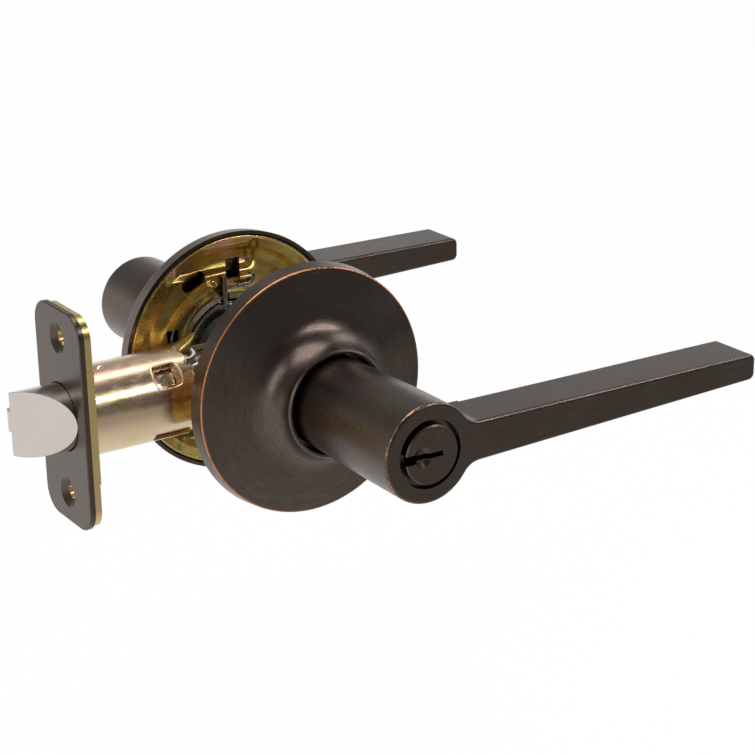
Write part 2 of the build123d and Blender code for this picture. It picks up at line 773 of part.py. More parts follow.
# Bolt guide: a sleeve behind the faceplate, shaped round the bolt and the plunger
with BuildPart() as bolt_guide:
    with BuildSketch(latch_section(faceplate_back)) as guide_section:
        Circle(sleeve_radius)
        with BuildSketch(mode=Mode.PRIVATE) as bolt_way:
            Circle(bolt_radius + apart)
            with Locations((bolt_flat + apart + bolt_radius, 0)):
                Rectangle(2 * bolt_radius, 3 * bolt_radius, mode=Mode.SUBTRACT)
        add(bolt_way.sketch, mode=Mode.SUBTRACT)
        with Locations((plunger_from + plunger_width / 2, 0)):
            Rectangle(plunger_width + 2 * apart, plunger_height + 2 * apart, mode=Mode.SUBTRACT)
    extrude(amount=bolt_back - apart - faceplate_back)
bolt_guide.part.label = "bolt_guide"
export_step(bolt_guide.part, "parts/bolt_guide.step")

# Latch case: a split sleeve inside the tube's end that carries the hub, with a bulkhead for the springs
with BuildPart() as latch_case:
    with BuildSketch(latch_section(case_from - backset)):
        Circle(sleeve_radius)
        Circle(sleeve_radius - case_wall, mode=Mode.SUBTRACT)
        Rectangle(case_slot, 3 * sleeve_radius, mode=Mode.SUBTRACT)
    extrude(amount=backset + case_rear - case_from)
    with BuildSketch(latch_section(bulkhead)):
        Circle(sleeve_radius - case_wall / 2)
        for way in (1, -1):
            with Locations((0, way * (rail_from - apart + sleeve_radius / 2))):
                Rectangle(case_slot, sleeve_radius, mode=Mode.SUBTRACT)
    extrude(amount=bulkhead_wall)
    behind = bulkhead + bulkhead_wall
    with BuildSketch(facing(-1, -half_door)):
        for way in (1, -1):
            cut_at = ((behind + case_rear) / 2 + case_cut_shift, way * (case_height + sleeve_radius) / 2)
            with Locations(cut_at):
                Rectangle(case_rear - behind, sleeve_radius)
        Circle(hub_radius + running)
        with Locations((-bolt_spacing / 2, 0)):
            Circle(post_radius + apart)
    extrude(amount=2 * sleeve_radius, both=True, mode=Mode.SUBTRACT)
    with BuildSketch(tube_side(window_angle)):
        with Locations(((window_from + window_to) / 2 - backset, 0)):
            case_window = (window_to - window_from - 2 * window_lip, window_width - 2 * window_lip)
            RectangleRounded(*case_window, cutout_corner)
    extrude(amount=2 * tube_radius, mode=Mode.SUBTRACT)
latch_case.part.label = "latch_case"
export_step(latch_case.part, "parts/latch_case.step")

# Latch bolt: a round bar with a flat back, bevelled towards the keyed side
with BuildPart() as latch_bolt:
    tip = -backset - bolt_throw
    with BuildSketch(latch_section(tip)):
        Circle(bolt_radius)
        with Locations((bolt_flat + bolt_radius, 0)):
            Rectangle(2 * bolt_radius, 3 * bolt_radius, mode=Mode.SUBTRACT)
    extrude(amount=bolt_back - tip)
    with BuildSketch(Plane.XY):
        with BuildLine():
            Polyline(
                (-backset, -bolt_radius),
                (tip, bolt_tip),
                (tip - 1, bolt_tip),
                (tip - 1, -bolt_radius - 1),
                (-backset, -bolt_radius - 1),
                close=True,
            )
        make_face()
    extrude(amount=2 * bolt_radius, both=True, mode=Mode.SUBTRACT)
latch_bolt.part.label = "latch_bolt"
export_step(latch_bolt.part, "parts/latch_bolt.step")

# Bolt tail: a web on the bolt's back and two rails whose hooks the hub's ears pull
with BuildPart() as bolt_tail:
    with BuildSketch(latch_section(bolt_back)):
        Rectangle(rail_width, 2 * rail_to)
        with Locations((bolt_coil_at, 0)):
            Circle(bolt_coil + 2 * coil_wire)
    extrude(amount=web_wall)
    with BuildSketch(Plane.XZ):
        for way in (1, -1):
            rail_end = hook_at + hook_length
            with Locations(((bolt_back + rail_end) / 2, way * (rail_from + rail_to) / 2)):
                Rectangle(rail_end - bolt_back, rail_to - rail_from)
            with Locations((hook_at + hook_length / 2, way * (hook_from + rail_to) / 2)):
                Rectangle(hook_length, rail_to - hook_from)
    extrude(amount=rail_width / 2, both=True)
bolt_tail.part.label = "bolt_tail"
export_step(bolt_tail.part, "parts/bolt_tail.step")

# Deadlatch plunger, beside the bolt's flat back
with BuildPart() as deadlatch_plunger:
    plunger_from_x = -backset - plunger_tip
    with BuildSketch(Plane.XY):
        with Locations((plunger_from_x, plunger_from)):
            length = plunger_rear - backset - plunger_from_x
            Rectangle(length, plunger_width, align=(Align.MIN, Align.MIN))
    extrude(amount=plunger_height / 2, both=True)
    tip_edges = deadlatch_plunger.edges().filter_by(Axis.Z).group_by(Axis.X)[0]
    fillet(tip_edges, plunger_round)
deadlatch_plunger.part.label = "deadlatch_plunger"
export_step(deadlatch_plunger.part, "parts/deadlatch_plunger.step")

# Springs behind the bolt's tail and behind the plunger, both seated on the bulkhead
coils = {
    "bolt_spring": (bolt_back + web_wall, bolt_coil_at, bolt_coil, bolt_coil_pitch),
    "plunger_spring": (
        plunger_rear - backset,
        plunger_from + plunger_width / 2,
        plunger_coil,
        plunger_coil_pitch,
    ),
}
for name, (start, offset_y, radius, pitch) in coils.items():
    with BuildPart() as latch_spring:
        first = start + coil_wire + running
        length = bulkhead - coil_wire - running - first
        with BuildLine() as coil_path:
            Helix(pitch, length, radius, (first, offset_y, 0), (1, 0, 0))
        with BuildSketch(Plane(coil_path.line @ 0, z_dir=coil_path.line % 0)):
            Circle(coil_wire)
        sweep(is_frenet=True)
    latch_spring.part.label = name
    export_step(latch_spring.part, f"parts/{name}.step")

# Latch hub: a sleeve in the case that both tongues turn by its ribs, with two ears that pull the rails
with BuildPart() as latch_hub:
    with BuildSketch(facing(-1, -half_door)) as hub_section:
        Circle(hub_radius)
        Circle(hub_bore, mode=Mode.SUBTRACT)
        rib_length = hub_bore + slip - rib_radius
        for way in (1, -1):
            with Locations((way * (rib_radius + rib_length / 2), 0)):
                Rectangle(rib_length, 2 * rib_half)
    extrude(amount=hub_half, both=True)
    for way in (1, -1):
        lean = way * lever_turn / 2
        lean_plane = Plane((0, 0, 0), x_dir=(cos(radians(lean)), 0, sin(radians(lean))), z_dir=(0, -1, 0))
        with BuildSketch(lean_plane):
            with Locations((0, way * (hub_bore + ear_radius) / 2)):
                Rectangle(2 * ear_half, ear_radius - hub_bore)
        extrude(amount=rail_width / 2, both=True)
latch_hub.part.label = "latch_hub"
export_step(latch_hub.part, "parts/latch_hub.step")
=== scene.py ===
"""Looks for a keyed lever handle lockset in oil-rubbed bronze, with a yellow zinc latch and chassis.

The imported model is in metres: +Z up, levers along +X, the keyed side at -Y. Sizes and places here are in
millimetres unless a line says otherwise, and MM turns them to metres."""
import math

import bmesh
import bpy
from mathutils import Matrix, Vector


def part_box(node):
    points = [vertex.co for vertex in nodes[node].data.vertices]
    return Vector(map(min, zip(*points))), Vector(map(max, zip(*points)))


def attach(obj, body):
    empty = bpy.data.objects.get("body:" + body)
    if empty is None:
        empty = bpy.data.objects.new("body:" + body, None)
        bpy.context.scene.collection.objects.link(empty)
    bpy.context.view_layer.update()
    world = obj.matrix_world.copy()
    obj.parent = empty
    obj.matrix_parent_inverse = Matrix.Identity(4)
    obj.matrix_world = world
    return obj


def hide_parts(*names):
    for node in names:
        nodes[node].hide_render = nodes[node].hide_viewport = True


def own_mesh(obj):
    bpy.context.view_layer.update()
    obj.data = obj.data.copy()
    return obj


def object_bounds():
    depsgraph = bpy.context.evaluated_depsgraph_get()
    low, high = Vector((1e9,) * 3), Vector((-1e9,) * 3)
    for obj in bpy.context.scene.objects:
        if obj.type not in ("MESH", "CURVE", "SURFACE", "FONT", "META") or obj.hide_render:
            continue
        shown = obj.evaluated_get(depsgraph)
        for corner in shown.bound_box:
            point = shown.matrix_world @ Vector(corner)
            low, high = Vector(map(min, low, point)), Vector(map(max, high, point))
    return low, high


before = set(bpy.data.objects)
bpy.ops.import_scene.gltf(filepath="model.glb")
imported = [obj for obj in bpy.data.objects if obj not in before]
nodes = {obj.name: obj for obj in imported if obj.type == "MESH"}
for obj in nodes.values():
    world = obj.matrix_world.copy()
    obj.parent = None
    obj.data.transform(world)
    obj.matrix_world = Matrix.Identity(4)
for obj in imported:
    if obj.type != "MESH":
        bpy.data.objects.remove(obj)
cad_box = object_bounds()
scene = bpy.context.scene
MM = 0.001


def box_mm(node):
    """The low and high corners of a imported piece's box, to a hundredth."""
    return [Vector([round(value / MM, 2) for value in corner]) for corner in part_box(node)]


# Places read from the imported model
faceplate_x = box_mm("faceplate")[0].x
tube_end = box_mm("latch_tube")[1].x
tube_radius = box_mm("latch_tube")[1].z
rose_rim = box_mm("interior_rose")[0].y
lever_face = box_mm("interior_lever")[1].y
plate_radius = box_mm("interior_mounting_plate")[1].x
plate_rim = box_mm("interior_mounting_plate")[0].y
plate_wall = 1.2
plate_floor = box_mm("interior_mounting_plate")[1].y - plate_wall


# ---------------------------------------------------------------- finishes
# Sockets go by number. MapRange takes 0 the value, 1 and 2 the range it comes from, and 3 and 4 the range
# it goes to. A Mix of colours takes 0 the share, 6 and 7 the two colours, and gives 2.
EASED = {"interpolation_type": "SMOOTHSTEP"}
COLOURS = {"data_type": "RGBA", "out": 2}
EVEN = (1.0, 1.0, 1.0)  # a pattern that isn't drawn out along any axis
NORMAL = 1  # among the geometry's outputs
ROW_FRAME = 3  # among the texture coordinates


def colour(hex_value):
    """Linear RGBA of an sRGB hex value."""
    channels = [int(hex_value[i:i + 2], 16) / 255 for i in (1, 3, 5)]
    linear = [c / 12.92 if c <= 0.04045 else ((c + 0.055) / 1.055) ** 2.4 for c in channels]
    return (*linear, 1.0)


def add(tree, kind, inputs=None, out=0, **settings):
    """Adds a node: inputs are values or sockets, settings its own properties. Gives one of its outputs."""
    made = tree.nodes.new("ShaderNode" + kind)
    for name, value in settings.items():
        setattr(made, name, value)
    for name, value in (inputs or {}).items():
        socket = made.inputs[name]
        if isinstance(value, bpy.types.NodeSocket):
            tree.links.new(value, socket)
        else:
            socket.default_value = value
    return made.outputs[out] if made.outputs else made


def new_material(name):
    """An empty material and its tree."""
    material = bpy.data.materials.new(name)
    material.use_nodes = True
    material.node_tree.nodes.clear()
    return material, material.node_tree


def grain(tree, stretch, size, detail=3.0):
    """Fine noise in the row frame, drawn out along the axes where stretch is small."""
    place = add(tree, "TexCoord", out=ROW_FRAME)
    drawn = add(tree, "VectorMath", {0: place, 1: stretch}, operation="MULTIPLY")
    scale = 1 / (size * MM)
    return add(tree, "TexNoise", {"Vector": drawn, "Scale": scale, "Detail": detail, "Roughness": 0.6})


def spindle_radius(tree, x, z):
    """Distance from the spindle axis, in metres."""
    squares = add(tree, "Math", {0: x, 1: x}, operation="MULTIPLY")
    squares = add(tree, "Math", {0: z, 1: z, 2: squares}, operation="MULTIPLY_ADD")
    return add(tree, "Math", {0: squares}, operation="SQRT")


def ring_grain(tree, size, detail):
    """Fine noise drawn out round the spindle axis, as turning or polishing on a lathe leaves it."""
    place = add(tree, "SeparateXYZ", {0: add(tree, "TexCoord", out=ROW_FRAME)}).node
    x, y, z = place.outputs
    # the angle counts for little, so that each scratch runs on for several millimetres
    angle = add(tree, "Math", {0: z, 1: x}, operation="ARCTAN2")
    angle = add(tree, "Math", {0: angle, 1: 2.2 * MM}, operation="MULTIPLY")
    vector = add(tree, "CombineXYZ", {0: spindle_radius(tree, x, z), 1: y, 2: angle})
    scale = 1 / (size * MM)
    return add(tree, "TexNoise", {"Vector": vector, "Scale": scale, "Detail": detail, "Roughness": 0.65})


def edge_wear(tree, radius, low, high):
    """Where the surface turns a corner: 1 on an outside edge, 0 on the flat."""
    rounded = add(tree, "Bevel", {"Radius": radius * MM}, samples=8)
    flat = add(tree, "NewGeometry", out=NORMAL)
    turn = add(tree, "VectorMath", {0: rounded, 1: flat}, out=1, operation="DOT_PRODUCT")
    return add(tree, "MapRange", {0: turn, 1: high, 2: low}, **EASED)


def bronze(name, turned, wear_line=None, copper_cut=0.0):
    """Oil-rubbed bronze: a dark plated brown over copper, brushed and lacquered.

    The eye sees warm near-black metal that goes pale grey where it faces the light at a low angle, faint
    scratches along the way it was brushed, and copper where edges have been rubbed."""
    material, tree = new_material(name)
    # real brush lines are about 0.05 apart, too fine to show, so they are drawn much coarser
    line_size = 0.385
    if turned:
        lines = ring_grain(tree, line_size, 4.0)
    else:
        lines = grain(tree, (0.05, 1.0, 1.0), line_size, 4.0)
    # the lacquer is a little thicker in patches, some 18 across
    clouds = grain(tree, EVEN, 18.2, 2.0)
    tone = add(tree, "Mix", {0: clouds, 6: colour("#574D47"), 7: colour("#6A6058")}, **COLOURS)
    streak = add(tree, "MapRange", {0: lines, 1: 0.35, 2: 0.75, 3: 0.0, 4: 0.45}, **EASED)
    tone = add(tree, "Mix", {0: streak, 6: tone, 7: colour("#4A3B2E")}, **COLOURS)
    # specks of copper, about a millimetre long, where a corner has lost its plate
    specks = add(tree, "MapRange", {0: grain(tree, EVEN, 1.11, 4.0), 1: 0.45, 2: 0.60}, **EASED)
    rubbed = add(tree, "Math", {0: edge_wear(tree, 0.4, 0.72, 0.97), 1: copper_cut}, operation="MULTIPLY")
    rubbed = add(tree, "Math", {0: rubbed, 1: specks}, operation="MULTIPLY")
    if turned:
        # scratches of half a millimetre across, coarser than real ones so that they show
        scratches = ring_grain(tree, 0.5, 2.0)
        scratches = add(tree, "MapRange", {0: scratches, 1: 0.58, 2: 0.76, 3: 0.0, 4: 0.20}, **EASED)
        rubbed = add(tree, "Math", {0: rubbed, 1: scratches}, operation="MAXIMUM")
    if wear_line:
        rubbed = add(tree, "Math", {0: rubbed, 1: wear_line(tree)}, operation="MAXIMUM")
    tone = add(tree, "Mix", {0: rubbed, 6: tone, 7: colour("#D08A60")}, **COLOURS)
    rough = add(tree, "MapRange", {0: lines, 1: 0.2, 2: 0.8, 3: 0.24, 4: 0.36}, **EASED)
    bump = add(tree, "Bump", {"Strength": 0.10, "Distance": 0.02 * MM, "Height": lines})
    shader = {"Base Color": tone, "Metallic": 1.0, "Roughness": rough, "Normal": bump}
    add(tree, "OutputMaterial", {"Surface": add(tree, "BsdfPrincipled", shader)})
    return material


def depth_beyond(tree, face):
    """How far a place stands out from the plane at y = face and its mirror image, in metres."""
    y = add(tree, "SeparateXYZ", {0: add(tree, "TexCoord", out=ROW_FRAME)}, out=1)
    out = add(tree, "Math", {0: y}, operation="ABSOLUTE")
    return add(tree, "Math", {0: out, 1: face * MM}, operation="SUBTRACT")


def band(tree, value, centre, half, soft):
    """1 within half of the centre, and 0 beyond a soft edge. The value is a socket in metres."""
    off = add(tree, "Math", {0: value, 1: centre * MM}, operation="SUBTRACT")
    off = add(tree, "Math", {0: off}, operation="ABSOLUTE")
    return add(tree, "MapRange", {0: off, 1: half * MM, 2: (half + soft) * MM, 3: 1.0, 4: 0.0}, **EASED)


def rim_line(tree):
    """A thin copper line round the rose, where its rim turns into the cone."""
    line = band(tree, depth_beyond(tree, rose_rim), 4.20, 0.05, 0.22)
    # broken every few millimetres, where fingers haven't rubbed it
    breaks = grain(tree, EVEN, 3.33, 4.0)
    breaks = add(tree, "MapRange", {0: breaks, 1: 0.30, 2: 0.50, 3: 0.35, 4: 1.0}, **EASED)
    return add(tree, "Math", {0: line, 1: breaks}, operation="MULTIPLY")


def face_line(tree):
    """Broken specks of copper on the rounded edge between the lever's shank and its flat end."""
    line = band(tree, depth_beyond(tree, lever_face), -0.40, 0.04, 0.24)
    # worn most on the side away from the arm, and hardly at all along it
    x = add(tree, "SeparateXYZ", {0: add(tree, "TexCoord", out=ROW_FRAME)})
    side = add(tree, "MapRange", {0: x, 1: -2.0 * MM, 2: 14.0 * MM, 3: 1.0, 4: 0.12}, **EASED)
    breaks = grain(tree, EVEN, 0.909, 5.0)
    breaks = add(tree, "MapRange", {0: breaks, 1: 0.46, 2: 0.64, 3: 0.0, 4: 0.9}, **EASED)
    line = add(tree, "Math", {0: line, 1: breaks}, operation="MULTIPLY")
    return add(tree, "Math", {0: line, 1: side}, operation="MULTIPLY")


def yellow_zinc(name, low, high, gloss, form=None):
    """Steel with yellow chromate over zinc.

    The eye sees glossy pale gold, with green and pink bloom where the film is thick."""
    material, tree = new_material(name)
    # the bath leaves patches some 17 across, and the film's colours turn over about 8
    clouds = grain(tree, EVEN, 16.7, 3.0)
    bloom = grain(tree, (0.6, 1.0, 1.0), 7.69, 2.0)
    tone = add(tree, "Mix", {0: clouds, 6: colour(low), 7: colour(high)}, **COLOURS)
    green = add(tree, "MapRange", {0: bloom, 1: 0.56, 2: 0.68, 3: 0.0, 4: 0.45}, **EASED)
    pink = add(tree, "MapRange", {0: bloom, 1: 0.44, 2: 0.32, 3: 0.0, 4: 0.60}, **EASED)
    tone = add(tree, "Mix", {0: green, 6: tone, 7: colour("#C8C878")}, **COLOURS)
    tone = add(tree, "Mix", {0: pink, 6: tone, 7: colour("#E2AFA0")}, **COLOURS)
    # rolling marks in the steel, drawn coarser than real ones so that they show in the gloss
    fine = grain(tree, (0.3, 1.0, 1.0), 0.909, 4.0)
    rough = add(tree, "MapRange", {0: fine, 1: 0.2, 2: 0.8, 3: gloss, 4: gloss + 0.12}, **EASED)
    bump = add(tree, "Bump", {"Strength": 0.12, "Distance": 0.02 * MM, "Height": fine})
    if form:
        bump = add(tree, "Bump", {"Strength": 1.0, "Distance": 1.0, "Height": form(tree), "Normal": bump})
    shader = {"Base Color": tone, "Metallic": 1.0, "Roughness": rough, "Normal": bump}
    add(tree, "OutputMaterial", {"Surface": add(tree, "BsdfPrincipled", shader)})
    return material


def stamped_form(tree):
    """Height of the pressing in a mounting plate's floor, in metres: a dished ring, pads and slow waves."""
    place = add(tree, "SeparateXYZ", {0: add(tree, "TexCoord", out=ROW_FRAME)}).node
    x, _, z = place.outputs
    radius = spindle_radius(tree, x, z)
    dish = add(tree, "MapRange", {0: radius, 1: 26.0 * MM, 2: 21.0 * MM, 3: 0.0, 4: 1.8 * MM}, **EASED)
    hub = add(tree, "MapRange", {0: radius, 1: 19.0 * MM, 2: 15.5 * MM, 3: 0.0, 4: -1.4 * MM}, **EASED)
    pad_x = band(tree, x, -6.0, 11.0, 3.5)
    pad_z = band(tree, add(tree, "Math", {0: z}, operation="ABSOLUTE"), 26.5, 3.0, 2.5)
    pad = add(tree, "Math", {0: pad_x, 1: pad_z}, operation="MULTIPLY")
    pad = add(tree, "Math", {0: pad, 1: -1.5 * MM}, operation="MULTIPLY")
    waves = grain(tree, (1.0, 0.2, 1.0), 14.3, 1.0)
    waves = add(tree, "Math", {0: waves, 1: 2.0 * MM}, operation="MULTIPLY")
    whole = add(tree, "Math", {0: dish, 1: hub}, operation="ADD")
    whole = add(tree, "Math", {0: whole, 1: pad}, operation="ADD")
    return add(tree, "Math", {0: whole, 1: waves}, operation="ADD")


def plain_metal(name, dark, light, rough_low, rough_high, depth=0.1, edge=None):
    """A bare or plated metal with slight clouds in its colour and drawn or tumbled grain in its gloss."""
    material, tree = new_material(name)
    # tumbling marks of half a millimetre, coarser than real ones so that they show in the gloss
    lines = grain(tree, EVEN, 0.526, 3.0)
    clouds = grain(tree, EVEN, 5.56, 3.0)
    tone = add(tree, "Mix", {0: clouds, 6: colour(dark), 7: colour(light)}, **COLOURS)
    if edge:
        # the colour turns darker along the sharp corners
        corner = edge_wear(tree, 0.3, 0.80, 0.97)
        tone = add(tree, "Mix", {0: corner, 6: tone, 7: colour(edge)}, **COLOURS)
    rough = add(tree, "MapRange", {0: lines, 1: 0.2, 2: 0.8, 3: rough_low, 4: rough_high}, **EASED)
    bump = add(tree, "Bump", {"Strength": depth, "Distance": 0.02 * MM, "Height": lines})
    shader = {"Base Color": tone, "Metallic": 1.0, "Roughness": rough, "Normal": bump}
    add(tree, "OutputMaterial", {"Surface": add(tree, "BsdfPrincipled", shader)})
    return material


def acetal(name):
    """Black moulded acetal: dull near-black plastic with a slightly waxy skin."""
    material, tree = new_material(name)
    # flow marks of about a millimetre
    skin = grain(tree, EVEN, 1.11, 3.0)
    tone = add(tree, "Mix", {0: skin, 6: colour("#17171A"), 7: colour("#232326")}, **COLOURS)
    rough = add(tree, "MapRange", {0: skin, 1: 0.2, 2: 0.8, 3: 0.4, 4: 0.5}, **EASED)
    shader = {"Base Color": tone, "Metallic": 0.0, "IOR": 1.48, "Roughness": rough}
    add(tree, "OutputMaterial", {"Surface": add(tree, "BsdfPrincipled", shader)})
    return material


# turned on a lathe: scratches run round, and the rim shows a copper line
rose_bronze = bronze("oil_rubbed_bronze_turned", True, rim_line)
# brushed along the arm: faint lines lengthwise, and copper specks round the shank's end
lever_bronze = bronze("oil_rubbed_bronze_brushed", False, face_line, 0.10)
# small turned faces: copper on every corner that a key or a thumb rubs
plug_bronze = bronze("oil_rubbed_bronze_plug", True, None, 0.5)
# drawn tube: the palest and glossiest, more pink than gold
zinc_tube = yellow_zinc("yellow_zinc_drawn", "#DDBD98", "#EDD5B6", 0.18)
# stamped plate: deeper gold, with the pressing's hollows in its reflections
zinc_plate = yellow_zinc("yellow_zinc_stamped", "#A4873C", "#C9AE66", 0.23, stamped_form)
# flat strip: between the two, without any pressing
zinc_flat = yellow_zinc("yellow_zinc_flat", "#CDAE68", "#E3CB92", 0.20)
# satin nickel plate on the bolt: pale warm grey, softly blurred
nickel = plain_metal("satin_nickel", "#CCC5BE", "#D4CDC6", 0.22, 0.25, 0.01, "#5A5048")
# bright zinc on pressed steel: cool grey with a slight spangle
steel = plain_metal("bright_zinc_steel", "#8F9294", "#A9ACAE", 0.24, 0.38)
# hard-drawn spring wire: darker, shiny along the wire
wire = plain_metal("spring_wire", "#6C6D6E", "#8B8C8C", 0.22, 0.32)
# free-cutting brass, turned
brass = plain_metal("turned_brass", "#B8964E", "#CDAF6A", 0.22, 0.34)
plastic = acetal("black_acetal")

finishes = {
    rose_bronze: ["exterior_rose", "interior_rose"],
    lever_bronze: ["exterior_lever", "interior_lever", "faceplate"],
    plug_bronze: ["key_plug", "turn_button", "cylinder_body"],
    zinc_tube: ["latch_tube", "latch_case", "screw_posts", "through_bolts"],
    zinc_plate: ["exterior_mounting_plate", "interior_mounting_plate"],
    zinc_flat: ["backing_plate"],
    nickel: ["latch_bolt", "deadlatch_plunger"],
    steel: [
        "exterior_spring_cage", "interior_spring_cage", "exterior_spindle", "interior_spindle",
        "bolt_tail", "latch_hub", "tailpiece", "button_stem",
    ],
    wire: [
        "exterior_return_spring", "interior_return_spring", "bolt_spring", "plunger_spring", "pin_springs",
        "exterior_retaining_ring", "interior_retaining_ring", "plug_clip",
        "exterior_lever_catch", "interior_lever_catch",
    ],
    brass: ["key_pins", "driver_pins"],
    plastic: ["bolt_guide"],
}
for material, names in finishes.items():
    for name in names:
        slots = nodes[name].data.materials
        slots.clear()
        slots.append(material)


def place_piece(name, data, finish):
    """A new piece in its finish, fixed to the frame."""
    data.materials.append(finish)
    made = bpy.data.objects.new(name, data)
    scene.collection.objects.link(made)
    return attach(made, "lockset_frame")


def wire_piece(name, points, radius, finish, closed=False):
    """A round wire or rolled edge along a path."""
    curve = bpy.data.curves.new(name, "CURVE")
    curve.dimensions = "3D"
    curve.bevel_depth = radius * MM
    curve.bevel_resolution = 4
    curve.resolution_u = 8
    curve.use_fill_caps = True
    spline = curve.splines.new("BEZIER")
    spline.bezier_points.add(len(points) - 1)
    spline.use_cyclic_u = closed
    for knot, point in zip(spline.bezier_points, points):
        knot.co = Vector(point) * MM
        knot.handle_left_type = knot.handle_right_type = "AUTO"
    return place_piece(name, curve, finish)


def strip_piece(name, rows, wall, finish):
    """A thin pressed sheet through rows of points, with its corners eased."""
    work = bmesh.new()
    grid = [[work.verts.new(Vector(point) * MM) for point in row] for row in rows]
    for first, second in zip(grid, grid[1:]):
        for number in range(len(first) - 1):
            corners = (first[number], first[number + 1], second[number + 1], second[number])
            work.faces.new(corners).smooth = True
    mesh = bpy.data.meshes.new(name)
    work.to_mesh(mesh)
    made = place_piece(name, mesh, finish)
    rounder = made.modifiers.new("rounded", "SUBSURF")
    rounder.levels = rounder.render_levels = 2
    thick = made.modifiers.new("wall", "SOLIDIFY")
    thick.thickness = wall * MM
    thick.offset = 0.0
    return made


def on_tube(x, across, radius):
    """A place on a circle about the latch axis, across from the middle of the window's side."""
    tilt = math.radians(window_angle)
    outward = Vector((0, -math.cos(tilt), math.sin(tilt)))
    tangent = Vector((0, math.sin(tilt), math.cos(tilt)))
    return Vector((x, 0, 0)) + tangent * across + outward * math.sqrt(radius**2 - across**2)


# Latch tube's window: a rolled edge round it, and a dimpled tongue that shows inside
window_angle = 43.0  # degrees up from level, on the keyed side
window_x = faceplate_x + 25.55
window_half = (3.75, 3.35)
window_corner = 1.5
edge_wire = 0.34
edge_sunk = 0.12
straight_x, straight_across = (half - window_corner for half in window_half)
edge_points = []
for quarter, (way_x, way_across) in enumerate(((1, 1), (-1, 1), (-1, -1), (1, -1))):
    for step in range(4):
        angle = math.radians(90 * quarter + 30 * step)
        x = window_x + way_x * straight_x + window_corner * math.cos(angle)
        across = way_across * straight_across + window_corner * math.sin(angle)
        edge_points.append(on_tube(x, across, tube_radius - edge_sunk))
wire_piece("window_edge", edge_points, edge_wire, zinc_tube, closed=True)

tongue_length, tongue_width = 6.8, 5.8
tongue_radius = 9.25
dimple_depth = 0.16
tongue_rows = []
for row in range(9):
    x = window_x + tongue_length * (row / 8 - 0.5)
    tongue_row = []
    for column in range(7):
        across = tongue_width * (column / 6 - 0.5)
        dimple = dimple_depth * math.cos(math.pi * row / 2) * math.cos(math.pi * column / 2)
        tongue_row.append(on_tube(x, across, tongue_radius + dimple))
    tongue_rows.append(tongue_row)
strip_piece("window_tongue", tongue_rows, 0.2, zinc_tube)

# A small stake mark on top of the tube, near the faceplate
mark_from = faceplate_x + 9.1
mark_height = 0.35
mark_rows = []
for row in range(5):
    mark_row = []
    for column in range(5):
        y = 0.55 * column - 2.6
        rise = mark_height if 0 < row < 4 and 0 < column < 4 else -0.12
        mark_row.append((mark_from + 0.6 * row, y, math.sqrt(tube_radius**2 - y**2) + rise))
    mark_rows.append(mark_row)
strip_piece("stake_mark", mark_rows, 0.15, zinc_tube)

# Mounting plates: a rolled bright lip round each, just inside the rose
lip_wire = 0.42
lip_radius = plate_radius - 0.45
lip_y = plate_rim + 0.22
for side_name, side in (("exterior", -1), ("interior", 1)):
    round_points = []
    for step in range(24):
        angle = math.radians(15 * step)
        round_points.append((lip_radius * math.cos(angle), side * lip_y, lip_radius * math.sin(angle)))
    wire_piece(side_name + "_plate_lip", round_points, lip_wire, zinc_flat, closed=True)

# Interior plate: a tab bent out beside the slot, and the hooked end of the spring by its leg
strip_piece("bent_tab", [
    [(-7.4, plate_floor + 0.1, 20.4), (-6.2, plate_floor + 0.1, 18.1)],
    [(-6.7, plate_floor - 0.9, 20.5), (-5.5, plate_floor - 0.9, 18.3)],
    [(-5.7, plate_floor - 1.6, 20.4), (-4.7, plate_floor - 1.6, 18.5)],
    [(-4.6, plate_floor - 1.2, 19.9), (-3.9, plate_floor - 1.2, 18.7)],
], 0.7, zinc_flat)
wire_piece("spring_hook", [
    (2.4, plate_floor - 0.8, 17.4),
    (4.4, plate_floor - 0.9, 17.6),
    (6.2, plate_floor - 0.9, 17.7),
    (7.2, plate_floor - 0.9, 18.6),
    (7.3, plate_floor - 0.9, 20.2),
], 0.55, wire)
wire_piece("spring_rest", [
    (3.2, plate_floor - 0.7, 19.4),
    (5.0, plate_floor - 0.8, 19.5),
    (6.6, plate_floor - 0.7, 19.4),
], 0.5, zinc_flat)

# The tube's end: a gold tab over the case, and two bright staked ends beside it
strip_piece("case_tab", [
    [(tube_end - 0.9, -3.6, 11.0), (tube_end - 0.9, 1.6, 11.3)],
    [(tube_end + 1.1, -3.0, 11.9), (tube_end + 1.1, 1.8, 12.0)],
    [(tube_end + 3.9, -1.2, 12.8), (tube_end + 3.9, 2.4, 12.8)],
    [(tube_end + 6.5, 1.4, 13.4), (tube_end + 6.5, 3.2, 13.4)],
], 0.7, zinc_plate)
wire_piece("stake_end", [
    (tube_end - 0.8, -6.2, 10.0),
    (tube_end + 0.9, -6.4, 10.2),
    (tube_end + 2.1, -5.4, 10.9),
    (tube_end + 2.3, -4.0, 11.4),
], 0.7, steel)
wire_piece("stake_pin", [
    (tube_end + 0.6, -7.6, 8.2),
    (tube_end + 2.3, -7.7, 8.6),
    (tube_end + 3.6, -6.9, 9.4),
], 0.9, steel)

# Latch springs: wire coils against the bulkhead
coil_wire = 0.3
steps_a_turn = 28
sides_round = 10


